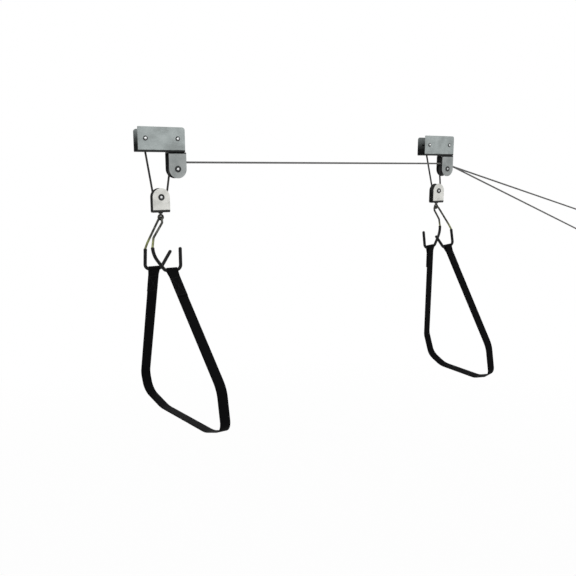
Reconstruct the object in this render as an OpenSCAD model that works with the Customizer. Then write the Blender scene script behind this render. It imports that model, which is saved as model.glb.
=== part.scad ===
// Kayak hoist: two ceiling brackets with rope pulleys, lower blocks, double hooks and webbing slings.
// X runs along the hoist, Y away from the viewer, Z up. The origin lies midway between the brackets,
// on the middle plane of the joist that they straddle, level with the underside of their webs.

/* [Hoist] */
// Distance between the two bracket centres
bracket_span = 1150; // [800:10:2400]
// Rope diameter
rope_d = 6.4; // [5.6:0.1:7.2]

/* [Bracket] */
// Length of a bracket along the joist
bracket_l = 152; // [146:1:200]
// Height of the bracket's front cheek
bracket_h = 76; // [68:1:100]
// Height of the bracket's rear cheek
rear_cheek_h = 70; // [62:1:100]
// Thickness of the joist that the bracket straddles
joist_w = 38; // [34:1:50]
// Play between the joist and the two cheeks together
joist_play = 1; // [0.5:0.1:3]
// Thickness of the bracket's sheet steel
sheet_t = 2; // [1.5:0.1:3]
// Outside radius of the bracket's bends
bend_r = 4.5; // [3.5:0.1:6]
// Distance between the two screw holes in a cheek
screw_pitch = 104; // [80:1:110]
// Height of the screw holes over the underside of the web
screw_z = 41; // [34:1:50]
// Diameter of a screw hole
screw_hole_d = 6.5; // [5:0.1:8]
// Radius of the large rounded corner of each cheek
corner_r = 9; // [6:0.5:14]
// Radius of the small corner of each cheek
small_corner_r = 2.5; // [1:0.1:4]
// Diameter of the three rope holes in the web
rope_hole_d = 8.6; // [8.4:0.1:10]
// Distance between neighbouring rope holes
rope_hole_pitch = 17; // [14:0.5:20]
// Distance from the bracket's end to its first rope hole
rope_hole_inset = 12; // [10:0.5:16]

/* [Pulley housing] */
// Distance of the top axle from the bracket's middle
axle_offset = 52; // [44:1:60]
// Drop of the top axle below the bracket's web
axle_drop = 52; // [44:1:64]
// Radius of the housing's rounded lower end, which is half its width
housing_r = 29; // [27.5:0.5:34]
// Thickness of the housing's plates
housing_t = 2.5; // [2:0.1:3.5]
// Outside radius of the housing's bends
housing_bend_r = 5; // [4:0.1:6]
// Distance between the two rivets that hold the housing
rivet_pitch = 30; // [22:1:36]
// Shank diameter of those rivets
rivet_d = 5; // [4:0.1:6]

/* [Sheaves and axles] */
// Radius from the axle to the middle of the rope
pitch_r = 21; // [19:0.5:23]
// Width of a sheave
sheave_w = 12; // [11:0.5:15]
// Radius of a sheave's hub
hub_r = 9; // [8:0.5:10]
// Thickness of a sheave's web
sheave_web = 5; // [4:0.5:7]
// Wall of the rim under the groove
rim_wall = 2; // [1.5:0.1:2.5]
// Slope of the groove's flanks, away from the sheave's plane
flank_angle = 18; // [12:1:20]
// Diameter of the holes in a sheave's web
lightening_d = 3.6; // [2.5:0.1:4]
// Number of holes in a sheave's web
lightening_holes = 6; // [4:1:8]
// Shank diameter of the sheave axles
axle_d = 8; // [7:0.1:9]
// Head radius of the sheave axles
axle_head_r = 10; // [8:0.1:12]
// Head thickness of the sheave axles
axle_head_t = 2.4; // [1.8:0.1:3.2]
// Radius of the hollow in an axle's head
dimple_r = 4.4; // [3:0.1:5]
// Thickness of the washers beside the double sheaves
washer_t = 1; // [0.8:0.1:1.6]
// Outside radius of axle washers and spacer tubes
washer_r = 7; // [6.4:0.1:7.8]

/* [Lower block] */
// Drop of the lower axle below the bracket's web
block_drop = 139; // [130:1:170]
// Sideways place of the left lower block under its bracket
left_block_x = -4.5; // [-10:0.5:20]
// Sideways place of the right lower block under its bracket
right_block_x = 14; // [-10:0.5:20]
// Radius of the yoke's arched top, which is half its width
yoke_r = 28; // [26:0.5:32]
// Distance from the lower axle to the yoke's underside
yoke_base_drop = 48; // [42:1:60]
// Thickness of the yoke's plates
yoke_t = 2.5; // [2:0.1:3.5]
// Outside radius of the yoke's bends
yoke_bend_r = 6; // [4:0.1:7]
// Length of the spacer tube on each side of the lower sheave
block_spacer_l = 3.7; // [3:0.1:6]

/* [Swivel] */
// Shank diameter of the swivel stud
stud_d = 8; // [7:0.1:9]
// Radius of the stud's head
stud_head_r = 7; // [6:0.1:8]
// Height of the stud's head
stud_head_h = 4.5; // [3:0.1:6]
// Thickness of the shoulder under the block
shoulder_t = 2.2; // [1.6:0.1:3]
// Radius of the shoulder under the block
shoulder_r = 6.5; // [5.6:0.1:7.6]
// Thickness of the ring that the hook hangs in
eye_wire = 6.4; // [5.4:0.1:7]
// Free radius inside that ring
eye_hole_r = 4.3; // [4.2:0.1:5]
// Thickness of the washers over and under the yoke's base
swivel_washer_t = 1.2; // [0.8:0.1:1.8]
// Radius of those washers
swivel_washer_r = 8; // [7:0.1:9]

/* [Hook] */
// Diameter of the hook's steel rod
rod_d = 7.5; // [6.5:0.1:7.6]
// Wall of the black coating on the two hooks
coat_t = 1.75; // [1:0.05:2.2]
// Distance between the planes of the two hooks
hook_gap = 60; // [50:1:70]
// Drop from the ring to the hooks' flat seats
hook_drop = 167; // [155:1:185]
// Height of a hook's tip over its seat, on the leaning side
lean_tip_h = 52; // [44:1:60]
// Height of a hook's tip over its seat, on the upright side
upright_tip_h = 67; // [56:1:76]
// Slope of the far hook's leaning tip
lean_angle = 57; // [50:1:60]
// Slope of the near hook's shank where it meets its seat
shank_angle = 54; // [50:1:60]
// Inside width of a hook's mouth at its seat, from upright side to leaning side
seat_l = 52.5; // [50:0.5:60]
// Bend radius of the hooks' corners at the middle of the rod
hook_bend_r = 15; // [12:0.5:16]
// Bend radius of the kinks in the shanks
kink_r = 12; // [8:0.5:14]
// Radius of the long curve in the near hook's coated shank
shank_r = 80; // [30:1:90]
// How far the right hook is drawn sideways by its load, in degrees
right_hook_lean = 9; // [0:0.5:12]

/* [Sling] */
// Width of the webbing
strap_w = 35; // [25:1:38]
// Thickness of the webbing
strap_t = 2.4; // [1.6:0.1:3]
// Length over which each end loop is sewn to the sling
sewn_l = 70; // [50:1:100]
// Half the width of the left sling where it is widest
left_sling_half = 262; // [200:1:320]
// Half the width of the right sling where it is widest
right_sling_half = 205; // [160:1:260]
// Depth of the slings below the hooks' seats
sling_depth = 520; // [420:5:640]

/* [Hauling lines] */
// Distance of the cleats from the right bracket's middle
cleat_x = 985; // [700:5:1400]
// Drop of the rear line's cleat below the brackets' webs
rear_cleat_drop = 284; // [240:1:310]
// Drop of the front line's cleat below the brackets' webs
front_cleat_drop = 386; // [370:1:450]
// How far the lines come forward to the plane of the cleats
cleat_forward = 40; // [20:1:60]
// Whole turns of rope on a cleat's neck
cleat_turns = 2; // [1:1:3]
// Rope that hangs from a cleat
free_end_l = 46; // [30:1:80]

/* [Cleat] */
// Length of a cleat's base
cleat_base_l = 66; // [62:1:80]
// Width of a cleat's base
cleat_base_w = 24; // [20:1:30]
// Thickness of a cleat's base
cleat_base_t = 4; // [3:0.5:6]
// Distance between a cleat's two screw holes
cleat_screw_pitch = 52; // [50:1:56]
// Diameter of a cleat's screw holes
cleat_screw_d = 4.5; // [3.5:0.1:5.5]
// Radius of a cleat's neck
cleat_neck_r = 10.4; // [9:0.1:12]
// Half the length across a cleat's horns
cleat_half_l = 48; // [40:1:60]
// Radius of the horns where they meet the neck
horn_root_r = 6.5; // [5:0.1:8]
// Radius of the horns' tips
horn_tip_r = 4.5; // [3.5:0.1:5.5]

/* [Hidden] */
$fn = 48;

steel = [0.62, 0.64, 0.63];
silver = [0.78, 0.79, 0.77];
zinc = [0.68, 0.67, 0.58];
rope_grey = [0.22, 0.22, 0.22];
line_grey = [0.45, 0.45, 0.45];
black = [0.07, 0.07, 0.075];
nylon = [0.2, 0.2, 0.21];

// How far a cut runs past the faces that it opens
over = 1;
// Radial play of an axle, rivet or stud in its hole
pin_play = 0.05;
// Play between faces that turn past each other, and round the rope
run_gap = 0.3;
// Gap between two stretches of the same rope, one fixed and one that moves
rope_break = 0.4;
// Gap between the two layers of a sewn loop
layer_gap = 0.3;
// Play between the webbing and the hook that it hangs on
strap_play = 0.6;
// Bevel on the edge of a rivet's head
head_bevel = 0.8;
// Depth of the hollow in an axle's head, as a share of the head
dimple_share = 0.75;

rope_r = rope_d / 2;
bracket_w = joist_w + joist_play + 2 * sheet_t;
first_hole_x = -bracket_l / 2 + rope_hole_inset;
rope_holes = 3;
anchor_x = first_hole_x + rope_hole_pitch;
groove_r = rope_r + run_gap;
sheave_r = pitch_r + rope_r;
rim_in = pitch_r - groove_r - rim_wall;
axle_r = axle_d / 2;
sheave_pitch = sheave_w + washer_t + 2 * run_gap;
housing_in = 2 * sheave_w + 3 * washer_t + 4 * run_gap;
housing_w = housing_in + 2 * housing_t;
top_spacer_l = (housing_in - sheave_w) / 2 - run_gap;
yoke_in = sheave_w + 2 * (block_spacer_l + run_gap);
yoke_w = yoke_in + 2 * yoke_t;
base_z = -block_drop - yoke_base_drop;
// The washer inside the yoke clears its bends
inner_washer_r = min(swivel_washer_r, yoke_in / 2 - (yoke_bend_r - yoke_t) - run_gap);

eye_r = eye_hole_r + eye_wire / 2;
neck_l = 0.8;
neck_r = eye_wire / 2 + run_gap;
shoulder_z = base_z - swivel_washer_t - run_gap;
eye_z = shoulder_z - shoulder_t - neck_l - eye_r - eye_wire / 2;
rod_r = rod_d / 2;
coat_r = rod_r + coat_t;
// The rod rests on the ring's inner side, with running play
apex_z = eye_z - (eye_hole_r - rod_r) + run_gap;

front_y = -sheave_pitch / 2;
rear_y = sheave_pitch / 2;
left_x = -bracket_span / 2;
right_x = bracket_span / 2;

// Directions and lengths of vectors
function unit(v) = v / norm(v);
function flat_dir(v) = unit([0, v[1], v[2]]);

function turn_at(p, q, s) = acos(max(-1, min(1, unit(q - p) * unit(s - q))));
// Bend radius at q, no larger than the run from p has room for
function fitted_r(p, q, s, r) = min(r, norm(q - p) / tan(turn_at(p, q, s) / 2));
// Points of a polyline [[point, bend radius], ...] with its corners rounded in steps of at most step degrees
function rounded(path, step) = [
    for (i = [0 : len(path) - 1])
        let (q = path[i][0], r = path[i][1])
        if (i == 0 || i == len(path) - 1 || r == 0) q
        else
            let (
                p = path[i - 1][0], s = path[i + 1][0], a = turn_at(p, q, s),
                u = unit(q - p), w = unit(s - q), cut = r * tan(a / 2),
                n = unit(w - u), c = q - cut * u + r * unit(n - (n * u) * u),
                m = max(2, ceil(a / step))
            )
            for (k = [0 : m])
                let (b = a * k / m)
                c - r * unit(n - (n * u) * u) * cos(b) + r * u * sin(b)
];
function tangents(p) = [
    for (i = [0 : len(p) - 1])
        i == 0 ? unit(p[1] - p[0])
        : i == len(p) - 1 ? unit(p[i] - p[i - 1])
        : unit(unit(p[i] - p[i - 1]) + unit(p[i + 1] - p[i]))
];
function across(v, t) = unit(v - (v * t) * t);
// A first direction square to each tangent, carried along the path without twist
function normals(t, start) = [
    for (i = 0, n = across(start, t[0]); i < len(t); i = i + 1, n = i < len(t) ? across(n, t[i]) : n) n
];
function ring(p, n, b, r, sides) = [
    for (k = [0 : sides - 1]) p + r * (cos(360 * k / sides) * n + sin(360 * k / sides) * b)
];
function skin(from, rings, sides, inward) = [
    for (i = [0 : rings - 2], k = [0 : sides - 1], half = [0, 1])
        let (
            a = from + i * sides + k, b = from + i * sides + (k + 1) % sides,
            c = a + sides, d = b + sides,
            f = half == 0 ? [a, b, d] : [a, d, c]
        )
        inward ? [f[2], f[1], f[0]] : f
];
function cap(from, sides, flip) = [
    for (k = [1 : sides - 2]) flip ? [from, from + k, from + k + 1] : [from, from + k + 1, from + k]
];

// Solid tube of radius r along points, whose start is square to the direction across it
module tube(points, r, sides, start = [0, 1, 0]) {
    t = tangents(points);
    n = normals(t, start);
    rings = [for (i = [0 : len(points) - 1]) each ring(points[i], n[i], cross(t[i], n[i]), r, sides)];
    last = (len(points) - 1) * sides;
    polyhedron(
        rings,
        concat(skin(0, len(points), sides, false), cap(0, sides, false), cap(last, sides, true)),
        convexity = 8
    );
}

// Tube with a bore, over the stretch first to last of a path; a rounded end closes it past the last point
module sleeve(points, first, last, bore, r, end, sides, start) {
    t = tangents(points);
    n = normals(t, start);
    way = first < last ? 1 : -1;
    order = [for (i = first; way * i <= way * last; i = i + way) i];
    m = len(order);
    out = unit(points[last] - points[last - way]);
    shoulder_share = 0.82;
    outer = concat(
        [for (i = order) ring(points[i], n[i], way * cross(t[i], n[i]), r, sides)],
        [ring(points[last] + out * end / 2, n[last], way * cross(t[last], n[last]), r, sides)],
        [ring(points[last] + out * end, n[last], way * cross(t[last], n[last]), r * shoulder_share, sides)]
    );
    inner = concat(
        [for (i = order) ring(points[i], n[i], way * cross(t[i], n[i]), bore, sides)],
        [ring(points[last] + out * pin_play, n[last], way * cross(t[last], n[last]), bore, sides)]
    );
    all = [for (g = concat(outer, inner)) each g];
    in_from = len(outer) * sides;
    mouth = [
        for (k = [0 : sides - 1], half = [0, 1])
            let (a = k, b = (k + 1) % sides, c = in_from + k, d = in_from + b)
            half == 0 ? [a, d, b] : [a, c, d]
    ];
    polyhedron(
        all,
        concat(
            skin(0, len(outer), sides, false), skin(in_from, len(inner), sides, true), mouth,
            cap((len(outer) - 1) * sides, sides, true), cap(in_from + (len(inner) - 1) * sides, sides, false)
        ),
        convexity = 8
    );
}

// Flat band along points, with its width along X and its thickness in the Y and Z plane
module ribbon(points, w, t) {
    dirs = [for (d = tangents(points)) flat_dir(d)];
    rings = [
        for (i = [0 : len(points) - 1])
            let (n = cross([1, 0, 0], dirs[i]) * t / 2, x = [w / 2, 0, 0])
            each [points[i] + x + n, points[i] - x + n, points[i] - x - n, points[i] + x - n]
    ];
    corners = 4;
    last = (len(points) - 1) * corners;
    polyhedron(
        rings,
        concat(skin(0, len(points), corners, true), cap(0, corners, true), cap(last, corners, false)),
        convexity = 12
    );
}

module rod_between(p, q, r) {
    d = q - p;
    translate(p)
        rotate([0, acos(d[2] / norm(d)), atan2(d[1], d[0])])
            cylinder(r = r, h = norm(d));
}

// Outline of a sheet bent up at both edges: w wide, h high, standing on its web
module channel_outline(w, h, t, r) {
    difference() {
        tray_outline(w, h, r);
        translate([0, t])
            tray_outline(w - 2 * t, h, r - t);
    }
}

module tray_outline(w, h, r) {
    translate([-w / 2, r])
        square([w, h - r]);
    translate([-w / 2 + r, 0])
        square([w - 2 * r, h]);
    for (side = [-1, 1])
        translate([side * (w / 2 - r), r])
            circle(r = r);
}

module along_x(l) {
    rotate([90, 0, 90])
        translate([0, 0, -l / 2])
            linear_extrude(l)
                children();
}

// Drilled hole of radius r through everything between y planes, at the part's own origin
module cross_hole(r, w) {
    rotate([90, 0, 0])
        cylinder(r = r, h = w + 2 * over, center = true);
}

// Bracket. The front cheek's face is -1 and the rear one's is 1.

cheek_top = max(bracket_h, rear_cheek_h);
function cheek_h(face) = face < 0 ? bracket_h : rear_cheek_h;

module cheek_corner(end, face, r) {
    cut_w = 4 * sheet_t;
    translate([end * (bracket_l / 2 - r), face * bracket_w / 2, cheek_h(face) - r])
        difference() {
            translate([end > 0 ? 0 : -r - over, -cut_w / 2, 0])
                cube([r + over, cut_w, r + over]);
            cross_hole(r, cut_w);
        }
}

module bracket() {
    color(steel)
        difference() {
            along_x(bracket_l)
                channel_outline(bracket_w, cheek_top, sheet_t, bend_r);
            for (face = [-1, 1])
                if (cheek_h(face) < cheek_top)
                    translate([-bracket_l, (face - 1) * bracket_w / 2, cheek_h(face)])
                        cube([2 * bracket_l, bracket_w, cheek_top]);
            for (side = [-1, 1]) {
                translate([side * screw_pitch / 2, 0, screw_z])
                    cross_hole(screw_hole_d / 2, bracket_w);
                translate([axle_offset + side * rivet_pitch / 2, 0, -over])
                    cylinder(d = rivet_d + 2 * pin_play, h = sheet_t + 2 * over);
                cheek_corner(side, -side, corner_r);
                cheek_corner(side, side, small_corner_r);
            }
            for (i = [0 : rope_holes - 1])
                translate([first_hole_x + i * rope_hole_pitch, 0, -over])
                    cylinder(d = rope_hole_d, h = sheet_t + 2 * over);
        }
}

// Pulley housing

module plate_outline(r, l) {
    circle(r = r);
    translate([-r, 0])
        square([2 * r, l]);
}

module clevis() {
    color(steel)
        difference() {
            intersection() {
                mirror([0, 0, 1])
                    along_x(2 * housing_r)
                        channel_outline(housing_w, axle_drop + housing_r, housing_t, housing_bend_r);
                translate([0, housing_w, -axle_drop])
                    rotate([90, 0, 0])
                        linear_extrude(2 * housing_w)
                            plate_outline(housing_r, axle_drop + over);
            }
            translate([0, 0, -axle_drop])
                cross_hole(axle_r + pin_play, housing_w);
            for (side = [-1, 1])
                translate([side * rivet_pitch / 2, 0, -housing_t - over])
                    cylinder(d = rivet_d + 2 * pin_play, h = housing_t + 2 * over);
        }
}

// Rivet along Z, closed over a stack from z0 up to z1
module short_rivet(z0, z1) {
    shank = rivet_d / 2;
    head_share = 1.8;
    head_h = shank;
    head_r = shank * head_share;
    rotate_extrude()
        polygon([
            [0, z0 - head_h], [head_r - head_bevel, z0 - head_h], [head_r, z0 - head_h + head_bevel],
            [head_r, z0], [shank, z0], [shank, z1], [head_r, z1], [head_r, z1 + head_h - head_bevel],
            [head_r - head_bevel, z1 + head_h], [0, z1 + head_h]
        ]);
}

module clevis_rivets() {
    color(silver)
        for (side = [-1, 1])
            translate([axle_offset + side * rivet_pitch / 2, 0, 0])
                short_rivet(-housing_t, sheet_t);
}

// Axle along Y with a hollow head on each outer face of a housing w wide
module axle(w) {
    out = w / 2 + axle_head_t;
    dimple_y = out - axle_head_t * dimple_share;
    half = [
        [0, dimple_y], [dimple_r, dimple_y], [dimple_r, out], [axle_head_r - head_bevel, out],
        [axle_head_r, out - head_bevel], [axle_head_r, w / 2], [axle_r, w / 2]
    ];
    color(silver)
        rotate([90, 0, 0])
            rotate_extrude()
                polygon(concat(half, [for (i = [len(half) - 1 : -1 : 0]) [half[i][0], -half[i][1]]]));
}

// Tube round an axle, from y to y + l
module spacer(y, l) {
    translate([0, y + l, 0])
        rotate([90, 0, 0])
            difference() {
                cylinder(r = washer_r, h = l);
                translate([0, 0, -over])
                    cylinder(r = axle_r + pin_play, h = l + 2 * over);
            }
}

module sheave_outline() {
    bore = axle_r + pin_play;
    low = pitch_r - groove_r * sin(flank_angle);
    narrow = groove_r * cos(flank_angle);
    high = sheave_r + over;
    wide = groove_r / cos(flank_angle) + (high - pitch_r) * tan(flank_angle);
    difference() {
        union() {
            translate([bore, -sheave_w / 2])
                square([hub_r - bore, sheave_w]);
            translate([bore, -sheave_web / 2])
                square([rim_in - bore + rim_wall / 2, sheave_web]);
            translate([rim_in, -sheave_w / 2])
                square([sheave_r - rim_in, sheave_w]);
        }
        translate([pitch_r, 0])
            circle(r = groove_r);
        polygon([[low, -narrow], [high, -wide], [high, wide], [low, narrow]]);
    }
}

module sheave() {
    hole_place = (hub_r + rim_in) / 2;
    color(nylon)
        rotate([90, 0, 0])
            difference() {
                rotate_extrude()
                    sheave_outline();
                for (i = [0 : lightening_holes - 1])
                    rotate([0, 0, i * 360 / lightening_holes])
                        translate([hole_place, 0, -sheave_w])
                            cylinder(d = lightening_d, h = 2 * sheave_w);
            }
}

// Rope routes, in the plane of a unit: angles are counted from +X towards +Z

// Lean of the haul fall, which runs from the right of the lower sheave to the left of the top one
function haul_lean(bx) =
    let (dx = axle_offset - bx, dz = block_drop - axle_drop)
    atan2(dx, dz) - asin(2 * pitch_r / norm([dx, dz]));
// Lean to the left of the anchor fall, which runs from the left of the lower sheave to the rope hole
function anchor_lean(bx) =
    let (dx = bx - anchor_x, dz = block_drop + sheet_t / 2)
    atan2(dx, dz) - asin(pitch_r / norm([dx, dz]));
function on_sheave(x, y, z, a) = [x + pitch_r * cos(a), y, z + pitch_r * sin(a)];

function haul_low(bx) = on_sheave(bx, 0, -block_drop, -haul_lean(bx));
function haul_top(bx, y) = on_sheave(axle_offset, y, -axle_drop, 180 - haul_lean(bx));
function anchor_low(bx) = on_sheave(bx, 0, -block_drop, 180 + anchor_lean(bx));

module haul_fall(bx, y) {
    d = unit(haul_top(bx, y) - haul_low(bx));
    color(rope_grey)
        rod_between(haul_low(bx) + rope_break * d, haul_top(bx, y) - rope_break * d, rope_r);
}

module anchor_fall(bx) {
    top = [anchor_x, 0, sheet_t / 2];
    d = unit(top - anchor_low(bx));
    color(rope_grey)
        rod_between(anchor_low(bx) + rope_break * d, top, rope_r);
}

// Rope lying in a sheave's groove at plane y, from angle a to angle b
module groove_rope(x, y, z, a, b) {
    color(rope_grey)
        translate([x, y, z])
            rotate([90, 0, 0])
                rotate([0, 0, a])
                    rotate_extrude(angle = b - a)
                        translate([pitch_r, 0])
                            circle(r = rope_r);
}

// Stopper knot on the web's upper face: a barrel of turns with the rope's end standing out
module rope_knot() {
    turns = 3;
    turn_r = rope_r + rope_r * 0.9;
    step = rope_d * 0.86;
    color(rope_grey)
        translate([anchor_x, 0, sheet_t]) {
            intersection() {
                rotate_extrude() {
                    square([turn_r, step * turns]);
                    for (i = [0 : turns - 1])
                        translate([turn_r, step * (i + 0.5)])
                            circle(r = step / 2 + head_bevel / 2);
                }
                cylinder(r = 2 * turn_r, h = step * turns);
            }
            translate([0, 0, step * turns])
                cylinder(r = rope_r, h = rope_d);
        }
}

// Lower block

module yoke() {
    color(silver)
        difference() {
            intersection() {
                translate([0, 0, -yoke_base_drop])
                    along_x(2 * yoke_r)
                        channel_outline(yoke_w, yoke_base_drop + yoke_r, yoke_t, yoke_bend_r);
                translate([0, yoke_w, 0])
                    mirror([0, 0, 1])
                        rotate([90, 0, 0])
                            linear_extrude(2 * yoke_w)
                                plate_outline(yoke_r, yoke_base_drop + over);
            }
            cross_hole(axle_r + pin_play, yoke_w);
            translate([0, 0, -yoke_base_drop - over])
                cylinder(r = stud_d / 2 + 2 * pin_play, h = yoke_t + 2 * over);
        }
}

module swivel_washer(z, r) {
    translate([0, 0, z])
        difference() {
            cylinder(r = r, h = swivel_washer_t);
            translate([0, 0, -over])
                cylinder(r = stud_d / 2 + 2 * pin_play, h = swivel_washer_t + 2 * over);
        }
}

module swivel_washers() {
    color(silver) {
        swivel_washer(base_z - swivel_washer_t, swivel_washer_r);
        swivel_washer(base_z + yoke_t, inner_washer_r);
    }
}

module swivel_eye() {
    head_z = base_z + yoke_t + swivel_washer_t + run_gap;
    ring_top = eye_z + eye_r;
    color(zinc) {
        rotate_extrude()
            polygon([
                [0, head_z + stud_head_h], [stud_head_r - 2 * head_bevel, head_z + stud_head_h],
                [stud_head_r, head_z + stud_head_h - 2 * head_bevel], [stud_head_r, head_z],
                [stud_d / 2, head_z], [stud_d / 2, shoulder_z], [shoulder_r, shoulder_z],
                [shoulder_r, shoulder_z - shoulder_t], [neck_r, shoulder_z - shoulder_t],
                [neck_r, ring_top], [0, ring_top]
            ]);
        translate([0, 0, eye_z])
            rotate([90, 0, 0])
                rotate_extrude()
                    translate([eye_r, 0])
                        circle(d = eye_wire);
    }
}

// Hook: one rod bent over the ring, with an open hook at each end. Points count from the ring.

hook_y = hook_gap / 2;
apex_half = rod_d + eye_wire / 2;
apex_bend_r = apex_half - rod_r / 4;
// The far hook's upright side, and the near hook's, which mirrors it
far_upright_x = -hook_gap * 0.8;
near_upright_x = hook_gap * 0.84;
lean_run = lean_tip_h / tan(lean_angle);
far_corner_x = far_upright_x + seat_l;
near_corner_x = near_upright_x - seat_l;
// Heights at which the shanks kink and the coating starts, as shares of the hook's drop
far_kink_share = 0.49;
far_coat_share = 0.6;
near_bulge_share = 0.1;
near_kink_share = 0.365;
near_coat_share = 0.54;
near_lean_share = 0.69;
// The kinks' places out from the ring, as shares of the hooks' own places
kink_x_share = 0.8;
kink_y_share = 0.86;
far_coat_x_share = 0.93;
near_kink_x_share = 0.73;
near_coat_x_share = 0.85;

// Where the near hook's coating starts, its shank begins to lean, and its seat begins
near_coat = [far_upright_x * near_coat_x_share, -hook_y, -hook_drop * near_coat_share];
near_corner = [near_corner_x, -hook_y, -hook_drop];
near_lean_h = hook_drop * (1 - near_lean_share);
near_lean = near_corner + [-near_lean_h / tan(shank_angle), 0, near_lean_h];

// [point, bend radius] along the whole rod, from the far hook's tip to the near hook's
rod_path = [
    [[far_corner_x + lean_run, hook_y, lean_tip_h - hook_drop], 0],
    [[far_corner_x, hook_y, -hook_drop], hook_bend_r],
    [[far_upright_x, hook_y, -hook_drop], hook_bend_r],
    [[far_upright_x * far_coat_x_share, hook_y, -hook_drop * far_coat_share], 0],
    [[far_upright_x * kink_x_share, hook_y * kink_y_share, -hook_drop * far_kink_share], kink_r],
    [[0, apex_half, 0], apex_bend_r],
    [[0, -apex_half, 0], apex_bend_r],
    [[0, -apex_half, -hook_drop * near_bulge_share], kink_r / 2],
    [[far_upright_x * near_kink_x_share, -hook_y * kink_y_share, -hook_drop * near_kink_share], kink_r],
    [near_coat, 0],
    [near_lean, fitted_r(near_coat, near_lean, near_corner, shank_r)],
    [near_corner, hook_bend_r],
    [[near_upright_x, -hook_y, -hook_drop], hook_bend_r],
    [[near_upright_x, -hook_y, upright_tip_h - hook_drop], 0]
];
rod_sides = 12;
rod_step = 15;
rod_points = rounded(rod_path, rod_step);
// Which of the rod's points is nearest a place
function nearest(points, p) =
    let (far = [for (q = points) norm(q - p)])
    [for (i = [0 : len(far) - 1]) if (far[i] == min(far)) i][0];
far_coat_i = nearest(rod_points, rod_path[3][0]);
near_coat_i = nearest(rod_points, rod_path[9][0]);

module hook_rod() {
    color(zinc)
        tube(rod_points, rod_r, rod_sides, [0, 0, 1]);
}

module hook_sleeves() {
    last = len(rod_points) - 1;
    color(black) {
        sleeve(rod_points, far_coat_i, 0, rod_r + pin_play, coat_r, coat_r, rod_sides, [0, 0, 1]);
        sleeve(rod_points, near_coat_i, last, rod_r + pin_play, coat_r, coat_r, rod_sides, [0, 0, 1]);
    }
}

// Slings

// Corners of each sling from the near side round to the far side. X and Z are shares of the sling's
// depth below the seats, and Y of half its width. The last share of each row is the bend's radius.
left_sling_shares = [
    [0.155, -1, -0.655, 0.16], [0.185, -0.975, -0.925, 0.1], [0.17, -0.55, -1, 0.2],
    [0.08, 0.55, -1, 0.2], [0.035, 0.94, -0.93, 0.1], [0.02, 0.965, -0.8, 0.12]
];
right_sling_shares = [
    [0.07, -1, -0.775, 0.18], [0.095, -0.965, -1.03, 0.09], [0.1, -0.55, -1.09, 0.16],
    [0.1, 0.45, -1.09, 0.16], [0.09, 0.76, -1.02, 0.09], [0.07, 0.8, -0.83, 0.12]
];
loop_r = coat_r + strap_play + strap_t / 2;
loop_l = 3.2 * loop_r;
loop_step = 18;
sling_step = 12;
// Half the distance between the two layers of a sewn loop
layer = (strap_t + layer_gap) / 2;

// Middle of a hook's flat seat, between its two rounded corners
function seat_middle(upright, corner, slope) =
    let (side = sign(corner - upright))
    (upright + side * hook_bend_r + corner - side * hook_bend_r * tan(slope / 2)) / 2;
far_seat = [seat_middle(far_upright_x, far_corner_x, lean_angle), hook_y, -hook_drop];
near_seat = [seat_middle(near_upright_x, near_corner_x, shank_angle), -hook_y, -hook_drop];

// End loop round a seat: the sewn end, round the hook and back. turn is 1 or -1, the side that it starts on.
function end_loop(seat, toward, turn) =
    let (
        run = toward - seat, l = norm([run[1], run[2]]), d = flat_dir(run),
        n = turn * cross([1, 0, 0], d), open = acos(loop_r / loop_l),
        m = ceil((360 - 2 * open) / loop_step),
        flat = concat(
            [(loop_l + sewn_l) * d + layer * n, loop_l * d + layer * n],
            [for (k = [0 : m]) let (a = open + (360 - 2 * open) * k / m) loop_r * (cos(a) * d + sin(a) * n)],
            [loop_l * d - layer * n, (loop_l + sewn_l) * d - layer * n]
        )
    )
    [for (p = flat) seat + p + [max(0, p * d) * run[0] / l, 0, 0]];
function reversed(list) = [for (i = [len(list) - 1 : -1 : 0]) list[i]];

function sling_corners(shares, half) = [
    for (c = shares)
        [[c[0] * sling_depth, c[1] * half, c[2] * sling_depth - hook_drop], c[3] * sling_depth]
];
function sling_path(near, far, shares, half) =
    let (
        corners = sling_corners(shares, half),
        start = end_loop(near, corners[0][0], -1),
        stop = reversed(end_loop(far, corners[len(corners) - 1][0], 1)),
        body = rounded(concat([[start[len(start) - 1], 0]], corners, [[stop[0], 0]]), sling_step)
    )
    concat([for (i = [0 : len(start) - 2]) start[i]], body, [for (i = [1 : len(stop) - 1]) stop[i]]);

module left_sling() {
    color(black)
        ribbon(sling_path(near_seat, far_seat, left_sling_shares, left_sling_half), strap_w, strap_t);
}

// On the right unit the hook is turned half round, so its seats change sides
module right_sling() {
    half_turn = [-1, -1, 1];
    near = [for (i = [0 : 2]) far_seat[i] * half_turn[i]];
    far = [for (i = [0 : 2]) near_seat[i] * half_turn[i]];
    color(black)
        ribbon(sling_path(near, far, right_sling_shares, right_sling_half), strap_w, strap_t);
}

// Hauling lines and cleats

wind_r = cleat_neck_r + rope_r + rope_break;
wind_step = rope_d * 1.09;
wind_angle = 20;
neck_l_cleat = (cleat_turns + 1) * wind_step + rope_d;
cleat_y = -cleat_forward + rope_r + run_gap + cleat_base_t;
sheave_x = right_x + axle_offset;

// Slope below level of a line from the top of a sheave to the top of a cleat's neck
function tail_slope(drop) =
    let (dx = right_x + cleat_x - sheave_x, dz = drop - axle_drop)
    atan2(dz, dx) + asin((pitch_r - wind_r) / norm([dx, dz]));
function tail_start(drop, y) = on_sheave(sheave_x, y, -axle_drop, 90 - tail_slope(drop));
function neck_point(drop, a) =
    [right_x + cleat_x + wind_r * cos(a), -cleat_forward - wind_step * (90 - tail_slope(drop) - a) / 360,
        -drop + wind_r * sin(a)];
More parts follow.
